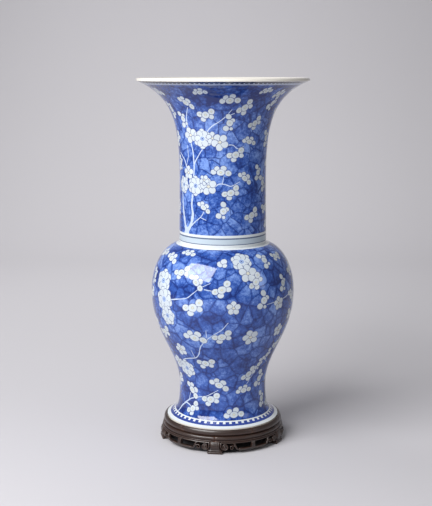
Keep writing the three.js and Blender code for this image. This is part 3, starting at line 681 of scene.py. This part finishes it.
# Proud edges are painted lighter, as wear and as a painted highlight; hollows are painted dark, as dirt and
# as painted shade.
for share, stain in (
    ((wear_and_shade, 0.15, 0.32, 0.0, 0.6), WOOD_WEAR_AND_HIGHLIGHT), ((pore, 0.6, 0.72, 0.0, 0.8), WOOD_DARK),
    ((wear_and_shade, 0.26, 0.02, 0.1, 0.9), WOOD_DARK),
):
    share = add("MapRange", share, **SOFT)
    colour = add("Mix", {0: share, 6: colour, 7: stain}, 2, data_type="RGBA")
gloss = add("MapRange", (smudge, 0.3, 0.7, 0.15, 0.24), **SOFT)
for change in ((fibre, 0.3, 0.7, 0.07, 0.0), (wear_and_shade, 0.05, 0.2, 0.25, 0.1)):
    gloss = add("Math", (gloss, add("MapRange", change, **SOFT)), operation="ADD")
relief = add("Math", (fibre, 0.4), operation="MULTIPLY")
relief = add("Math", (relief, add("MapRange", (pore, 0.6, 0.72, 0.0, 0.6), **SOFT)), operation="SUBTRACT")
grain = add("Bump", {"Height": relief, "Distance": GRAIN_DEEP, "Strength": 0.8})
shader = add(
    "BsdfPrincipled",
    {"Base Color": colour, "Roughness": gloss, "Normal": grain, "Coat Weight": WAX, "Coat Roughness": 0.17},
)
add("OutputMaterial", {"Surface": shader})


# Stand rim: five arcs joined end to end midway between the legs. Each has a rounded lip, the recess that
# locates the vase's foot, a groove inside that holds the panel, and a cove outside that reads as a waist.
BAYS = 5
BAY = 2 * math.pi / BAYS
FIRST_LEG = math.radians(-7.3)
LEG_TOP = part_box("stand_apron_1")[1][2] / MM
RIM_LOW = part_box("stand_panel")[0][2] / MM
LIP_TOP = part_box("stand_rim_1")[1][2] / MM
RIM_RADIUS, RECESS_RADIUS, RIM_INNER, WAIST_COVE = 78.8, 75.5, 65.0, 76.6
GROOVE_LOW, GROOVE_HIGH, GROOVE_RADIUS = RIM_LOW + 1.7, RIM_LOW + 3.8, 68.0
JOINT = 0.06
EASED = 0.2
CRISP = math.radians(38)
# Each board is sawn from a place of its own in the log, within this reach in metres.
LOG_REACH = 0.4
grower = random.Random(5)


def spun(name, outline, half_turn, steps):
    """Stands an outline of radius and height upright, spins it across the front and eases its ends."""
    bpy.ops.object.select_all(action="DESELECT")
    bpy.ops.mesh.primitive_circle_add(vertices=len(outline), fill_type="NGON")
    piece = bpy.context.object
    piece.name = name
    for corner, (radius, height) in zip(piece.data.vertices, outline):
        corner.co = Vector((-radius * math.sin(half_turn), -radius * math.cos(half_turn), height)) * MM
    bpy.ops.object.mode_set(mode="EDIT")
    bpy.ops.mesh.select_all(action="SELECT")
    bpy.ops.mesh.spin(steps=steps, angle=2 * half_turn, center=(0, 0, 0), axis=(0, 0, 1))
    bpy.ops.mesh.select_all(action="SELECT")
    bpy.ops.mesh.normals_make_consistent(inside=False)
    bpy.ops.mesh.select_mode(type="FACE")
    bpy.ops.mesh.select_all(action="DESELECT")
    bpy.ops.mesh.select_face_by_sides(number=4, type="GREATER")
    bpy.ops.mesh.region_to_loop()
    bpy.ops.mesh.bevel(offset=EASED * MM, segments=2)
    bpy.ops.object.mode_set(mode="OBJECT")
    return piece


def handled(piece):
    """Notes on each corner how far it stands proud, from hollows, painted dark as dirt and shade, to edges,
    painted lighter as wear and highlight.
    """
    note = piece.data.color_attributes.new("handled", "FLOAT_COLOR", "POINT")
    note.data.foreach_set("color", np.ones(4 * len(piece.data.vertices)))
    piece.data.color_attributes.active_color = note
    bpy.ops.object.select_all(action="DESELECT")
    piece.select_set(True)
    bpy.context.view_layer.objects.active = piece
    bpy.ops.paint.vertex_color_dirt(
        blur_strength=1.0, blur_iterations=2, dirt_angle=math.radians(60), clean_angle=math.radians(120),
        normalize=False,
    )


def darkened_under_foot(piece):
    """Marks the wood under the vase's foot like a hollow, dull and painted dark: painted shade under the
    foot, where no hand rubs it.
    """
    for corner, note in zip(piece.data.vertices, piece.data.color_attributes["handled"].data):
        if corner.co.xy.length < (RECESS_RADIUS + EASED) * MM:
            note.color = (HOLLOW_NOTE, HOLLOW_NOTE, HOLLOW_NOTE, 1)


def places_of(piece):
    """The places of a piece's corners, all in one row."""
    places = np.empty(3 * len(piece.data.vertices))
    piece.data.vertices.foreach_get("co", places)
    return places


def finished(piece, node):
    """Gives a piece of the stand its wood and puts it in the place of its plain solid."""
    piece.data.materials.append(hardwood)
    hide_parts(node)
    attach(piece, "stand")


def set_round(model, kind, first, upright=False):
    """Copies a piece modelled at the front to its five places. Each copy has a mesh and grain of its own."""
    places = places_of(model)
    if upright:
        places = places.reshape(-1, 3)[:, ::-1].ravel()
    model.data.attributes.new("board", "FLOAT_VECTOR", "POINT")
    for count in range(BAYS):
        log = np.tile([grower.uniform(-LOG_REACH, LOG_REACH) for _ in range(3)], len(model.data.vertices))
        bpy.ops.object.select_all(action="DESELECT")
        model.select_set(True)
        bpy.context.view_layer.objects.active = model
        bpy.ops.object.duplicate()
        piece = bpy.context.object
        piece.name = f"{kind}_{count + 1}_carved"
        piece.data.attributes["board"].data.foreach_set("vector", places + log)
        piece.rotation_euler.z = first + count * BAY
        bpy.ops.object.transform_apply(rotation=True)
        piece.data.materials.clear()
        finished(piece, f"{kind}_{count + 1}")
    bpy.data.objects.remove(model)


rim = spun(
    "rim_model",
    [
        (RIM_INNER, RIM_LOW), (WAIST_COVE - 0.2, RIM_LOW),
        *run_of([(WAIST_COVE, RIM_LOW + 0.2), (WAIST_COVE, RIM_LOW + 1.2), (WAIST_COVE + 0.4, RIM_LOW + 1.5),
                 (RIM_RADIUS - 0.7, RIM_LOW + 1.6)], 4),
        *run_of([(RIM_RADIUS, RIM_LOW + 1.9), (RIM_RADIUS + 0.7, RIM_LOW + 4.6),
                 (RIM_RADIUS - 1.0, LIP_TOP - 0.6), (RECESS_RADIUS + 0.8, LIP_TOP)], 12),
        (RECESS_RADIUS + 0.5, LIP_TOP - 0.1), (RECESS_RADIUS + 0.1, LIP_TOP - 0.4),
        (RECESS_RADIUS, LIP_TOP - 0.8), (RECESS_RADIUS, SEAT), (RIM_INNER + EASED, SEAT),
        (RIM_INNER, SEAT - EASED), (RIM_INNER, GROOVE_HIGH), (GROOVE_RADIUS, GROOVE_HIGH),
        (GROOVE_RADIUS, GROOVE_LOW), (RIM_INNER, GROOVE_LOW),
    ],
    BAY / 2 - JOINT / RIM_RADIUS, 28,
)
handled(rim)
darkened_under_foot(rim)
bpy.ops.object.shade_smooth_by_angle(angle=CRISP)
set_round(rim, "stand_rim", FIRST_LEG)


# Stand moulding: five arcs of a convex moulding under the rim, with a bead along the lower edge. They meet
# over the legs, where the tenons pass up through them into the rim.
MOULDING_RADIUS, MOULDING_INNER, BEAD_RADIUS = 80.0, 67.0, 81.0
BEAD = 0.68
moulding = spun(
    "moulding_model",
    [
        (MOULDING_INNER, LEG_TOP), (BEAD_RADIUS - BEAD, LEG_TOP),
        *run_of([(BEAD_RADIUS - 0.5 * BEAD, LEG_TOP + 0.06), (BEAD_RADIUS + 0.2, LEG_TOP + 0.3),
                 (BEAD_RADIUS + 0.2, LEG_TOP + 1.1), (BEAD_RADIUS - 0.6 * BEAD, LEG_TOP + 1.35)], 6),
        (MOULDING_RADIUS - 0.6, LEG_TOP + 1.5),
        *run_of([(MOULDING_RADIUS - 0.3, LEG_TOP + 1.75), (MOULDING_RADIUS + 0.6, LEG_TOP + 3.2),
                 (MOULDING_RADIUS, RIM_LOW - 0.5), (WAIST_COVE + 0.6, RIM_LOW - 0.1)], 10),
        (WAIST_COVE, RIM_LOW), (MOULDING_INNER, RIM_LOW),
    ],
    BAY / 2 - JOINT / MOULDING_RADIUS, 28,
)
handled(moulding)
bpy.ops.object.shade_smooth_by_angle(angle=CRISP)
set_round(moulding, "stand_moulding", FIRST_LEG + BAY / 2)


# Stand panel: the turned board that closes the middle. Its tongue floats in the rim's groove with no glue,
# so that it can swell and shrink.
PANEL_EDGE, TONGUE_EDGE = RIM_INNER - 0.15, GROOVE_RADIUS - 0.3
TONGUE_LOW, TONGUE_HIGH = GROOVE_LOW + 0.2, GROOVE_HIGH - 0.2
bpy.ops.object.select_all(action="DESELECT")
bpy.ops.mesh.primitive_circle_add(
    vertices=96, radius=PANEL_EDGE * MM, fill_type="NGON", location=(0, 0, RIM_LOW * MM)
)
panel = bpy.context.object
panel.name = "stand_panel_turned"
bpy.ops.object.transform_apply(location=True)
bpy.ops.object.mode_set(mode="EDIT")
bpy.ops.mesh.select_all(action="SELECT")
level, edge = RIM_LOW, PANEL_EDGE
for height, radius in (
    (TONGUE_LOW, PANEL_EDGE), (TONGUE_LOW, TONGUE_EDGE), (TONGUE_HIGH, TONGUE_EDGE),
    (TONGUE_HIGH, PANEL_EDGE), (SEAT - EASED, PANEL_EDGE), (SEAT, PANEL_EDGE - EASED),
):
    bpy.ops.mesh.extrude_region_move(TRANSFORM_OT_translate={"value": (0, 0, (height - level) * MM)})
    if radius != edge:
        bpy.ops.transform.resize(value=(radius / edge, radius / edge, 1), center_override=(0, 0, height * MM))
    level, edge = height, radius
bpy.ops.mesh.select_all(action="SELECT")
bpy.ops.mesh.normals_make_consistent(inside=False)
bpy.ops.object.mode_set(mode="OBJECT")
bpy.ops.object.shade_smooth_by_angle(angle=CRISP)
handled(panel)
darkened_under_foot(panel)
panel.data.attributes.new("board", "FLOAT_VECTOR", "POINT").data.foreach_set("vector", places_of(panel))
finished(panel, "stand_panel")


# Stand legs: each is one carved block, bowed out like the apron, with a bead down both front edges. It ends
# in a rolled toe, and its tenon, out of sight, goes up through the moulding into the rim. Each station down
# the leg has its height, its half width, and how far its front and its back stand from the stand's middle.
LEG_HALF = 6.2
LEG_STATIONS = [
    (LEG_TOP, LEG_HALF, 81.2, 69.5), (LEG_TOP - 0.3, LEG_HALF, 81.4, 69.5),
    (14.2, 6.1, 82.3, 69.6), (12.2, 6.0, 83.2, 70.1), (10.2, 5.9, 83.8, 71.0), (8.4, 5.9, 83.7, 72.2),
    (6.9, 6.2, 83.3, 73.5), (5.9, 6.9, 83.0, 74.6), (5.2, 8.2, 83.2, 75.3), (4.8, 9.2, 83.5, 75.7),
    (4.5, 9.6, 83.7, 75.9), (4.2, 9.6, 83.6, 75.9), (3.9, 9.0, 82.9, 76.1), (3.6, 8.6, 82.4, 76.2),
    (3.3, 8.8, 82.6, 76.2), (3.0, 9.4, 83.3, 76.1), (2.4, 9.9, 83.8, 76.0), (1.5, 10.0, 83.95, 76.0),
    (0.7, 9.8, 83.8, 76.0), (0.15, 9.4, 83.4, 76.1), (0.0, 9.0, 83.0, 76.4),
]
EDGE_BEAD = 1.5


def leg_section(half, outer, inner):
    """The leg cut level: from the middle of its front, over the edge bead, round the back to the front."""
    edge = half - EDGE_BEAD
    side = [(0, outer), (0.35 * edge, outer), (0.75 * edge, outer - 0.02), (edge - 0.35, outer - 0.1),
            (edge, outer - 0.4), (edge + 0.3, outer - 0.1), (half - 0.75, outer), (half - 0.25, outer - 0.2),
            (half, outer - 0.7), (half, outer - 2.5), (half, 0.5 * (outer + inner)), (half, inner + 1.6),
            (half - 0.3, inner + 0.4), (half - 1.2, inner), (0.5 * half, inner), (0, inner)]
    return side + [(-x, y) for x, y in side[-2:0:-1]]


bpy.ops.object.select_all(action="DESELECT")
bpy.ops.mesh.primitive_circle_add(vertices=len(leg_section(1, 1, 1)), fill_type="NGON")
leg = bpy.context.object
leg.name = "leg_model"
for count, (height, half, outer, inner) in enumerate(LEG_STATIONS):
    if count:
        bpy.ops.object.mode_set(mode="EDIT")
        bpy.ops.mesh.extrude_region_move()
        bpy.ops.object.mode_set(mode="OBJECT")
    loop = [corner for corner in leg.data.vertices if corner.select]
    for corner, (across, out) in zip(loop, leg_section(half, outer, inner)):
        corner.co = Vector((across, -out, height)) * MM
bpy.ops.object.mode_set(mode="EDIT")
bpy.ops.mesh.select_all(action="SELECT")
bpy.ops.mesh.normals_make_consistent(inside=False)
bpy.ops.object.mode_set(mode="OBJECT")
rounding = leg.modifiers.new("rounding", "SUBSURF")
rounding.levels = rounding.render_levels = 1
bpy.ops.object.modifier_apply(modifier="rounding")
bpy.ops.object.shade_smooth()
handled(leg)
set_round(leg, "stand_leg", FIRST_LEG, upright=True)


# Stand aprons: pierced boards tongued between the legs. Each is fretted from one plank: a rail, a centre
# strut, a lower bar whose ends climb to the rail and put out a small scroll, and a volute beside each leg. It
# is drawn flat, with the strips rounded over, and then bowed outwards and wrapped round the stand.
APRON_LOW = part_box("stand_apron_1")[0][2] / MM
APRON_RADIUS, APRON_DEPTH, SHALLOW_DEPTH = 80.6, 4.5, 3.7
APRON_BOW, BOW_MIDDLE, BOW_FOOT = 2.7, 1.7, 0.5
STRIP = 1.15
BAR_HALF, BAR_DEEP = 19.0, 4.0
STRUT = [(0, 3.3), (0.25, 2.6), (0.5, 2.2), (0.75, 2.6), (1, 3.3)]
POST = BAY / 2 * APRON_RADIUS - LEG_HALF - 0.2 - STRIP
CURL_TURNS = [0, 0.12, 0.25, 0.5, 0.75, 1.0, 1.25, 1.4]
CURL_RADII = [5.4, 4.5, 3.75, 3.45, 3.2, 2.7, 2.1, 1.6]
SPRIG_TURNS = [0, 0.12, 0.25, 0.5, 1.1]
SPRIG_RADII = [5.0, 3.4, 2.7, 2.2, 1.1]
CURL_STRIP = 0.62
DISC_RADIUS, EYE_RADIUS, DISC_SUNK = 3.4, 1.25, 0.8
VOXEL = 0.36
rail_height = LEG_TOP - STRIP
bar_height = APRON_LOW + BAR_DEEP - STRIP
curl = (POST - CURL_RADII[0], rail_height - CURL_RADII[0])
sprig = (28.6, bar_height + 2.0)


def strip(points, half_width, depth=APRON_DEPTH):
    """A strip of the fretwork along points drawn flat in length and height, rounded over on both faces."""
    bpy.ops.object.select_all(action="DESELECT")
    bpy.ops.curve.primitive_bezier_curve_add()
    line = bpy.context.object.data
    line.splines.clear()
    spline = line.splines.new("POLY")
    spline.points.add(len(points) - 1)
    for point, (x, y) in zip(spline.points, points):
        point.co = (x * MM, y * MM, 0, 1)
    line.twist_mode = "Z_UP"
    line.bevel_depth = half_width * MM
    line.bevel_resolution = 3
    line.extrude = (depth / 2 - half_width) * MM
    line.use_fill_caps = True
    bpy.context.object.rotation_euler.x = math.radians(90)
    bpy.ops.object.convert(target="MESH")
    bpy.ops.object.transform_apply(rotation=True)
    return bpy.context.object


def spiral(middle, turns, radii, first, steps):
    """Points that wind in clockwise about a middle, with a radius given at some of the turns."""
    turn = np.linspace(0, turns[-1], steps)
    reach = np.interp(turn, turns, radii)
    way = first - 2 * math.pi * turn
    return np.column_stack([middle[0] + reach * np.cos(way), middle[1] + reach * np.sin(way)])


fret = [
    strip([(-POST, rail_height), (POST, rail_height)], STRIP),
    strip([(-BAR_HALF, bar_height), (BAR_HALF, bar_height)], STRIP),
    strip([(-BAR_HALF, APRON_LOW + STRIP), (BAR_HALF, APRON_LOW + STRIP)], STRIP, SHALLOW_DEPTH),
]
rise = run_of([(BAR_HALF - 0.5, bar_height - 0.6), (BAR_HALF + 7, bar_height - 0.6),
               (BAR_HALF + 3, rail_height), (BAR_HALF + 10, rail_height)], 16)
curl_line = spiral(curl, CURL_TURNS, CURL_RADII, 0, 50)
sprig_line = spiral(sprig, SPRIG_TURNS, SPRIG_RADII, math.pi, 24)
for side in (-1, 1):
    fret.append(strip([(side * x, z) for x, z in rise], STRIP))
    fret.append(strip([(side * POST, rail_height), (side * POST, curl[1])], STRIP))
    fret.append(strip([(side * x, z) for x, z in curl_line], CURL_STRIP))
    fret.append(strip([(side * x, z) for x, z in sprig_line], CURL_STRIP, SHALLOW_DEPTH))
    bpy.ops.mesh.primitive_cylinder_add(
        vertices=32, radius=DISC_RADIUS * MM, depth=(APRON_DEPTH - 2 * DISC_SUNK) * MM,
        location=(side * curl[0] * MM, 0, curl[1] * MM), rotation=(math.radians(90), 0, 0),
    )
    fret.append(bpy.context.object)
    bpy.ops.mesh.primitive_uv_sphere_add(
        radius=EYE_RADIUS * MM,
        location=(side * curl[0] * MM, -(APRON_DEPTH / 2 - DISC_SUNK) * MM, curl[1] * MM),
    )
    fret.append(bpy.context.object)
bpy.ops.mesh.primitive_cube_add(size=MM, location=(0, 0, 0.5 * (rail_height + bar_height) * MM))
strut = bpy.context.object
strut.scale = (1, APRON_DEPTH, rail_height - bar_height)
bpy.ops.object.transform_apply(location=True, scale=True)
bpy.ops.object.mode_set(mode="EDIT")
bpy.ops.mesh.select_all(action="SELECT")
bpy.ops.mesh.subdivide(number_cuts=11)
bpy.ops.object.mode_set(mode="OBJECT")
for corner in strut.data.vertices:
    share = (corner.co.z / MM - bar_height) / (rail_height - bar_height)
    corner.co.x *= 2 * np.interp(share, *zip(*STRUT))
fret.append(strut)
bpy.ops.object.select_all(action="DESELECT")
for part in fret:
    part.select_set(True)
bpy.context.view_layer.objects.active = strut
bpy.ops.object.join()
apron = bpy.context.object
apron.name = "apron_model"
apron.data.remesh_voxel_size = VOXEL * MM
bpy.ops.object.voxel_remesh()
smoothing = apron.modifiers.new("smoothing", "SMOOTH")
smoothing.factor, smoothing.iterations = 0.5, 3
bpy.ops.object.modifier_apply(modifier="smoothing")
x, y, z = places_of(apron).reshape(-1, 3).T / MM
share = np.clip((LEG_TOP - z) / (LEG_TOP - APRON_LOW), 0, 1)
bow = 2 * share * (1 - share) * BOW_MIDDLE * APRON_BOW + share**2 * BOW_FOOT * APRON_BOW
out = APRON_RADIUS + bow - (y + APRON_DEPTH / 2)
turn = x / APRON_RADIUS
places = np.column_stack([out * np.sin(turn), -out * np.cos(turn), z]) * MM
apron.data.vertices.foreach_set("co", places.ravel())
apron.data.update()
handled(apron)
bpy.ops.object.shade_smooth()
set_round(apron, "stand_apron", FIRST_LEG + BAY / 2)
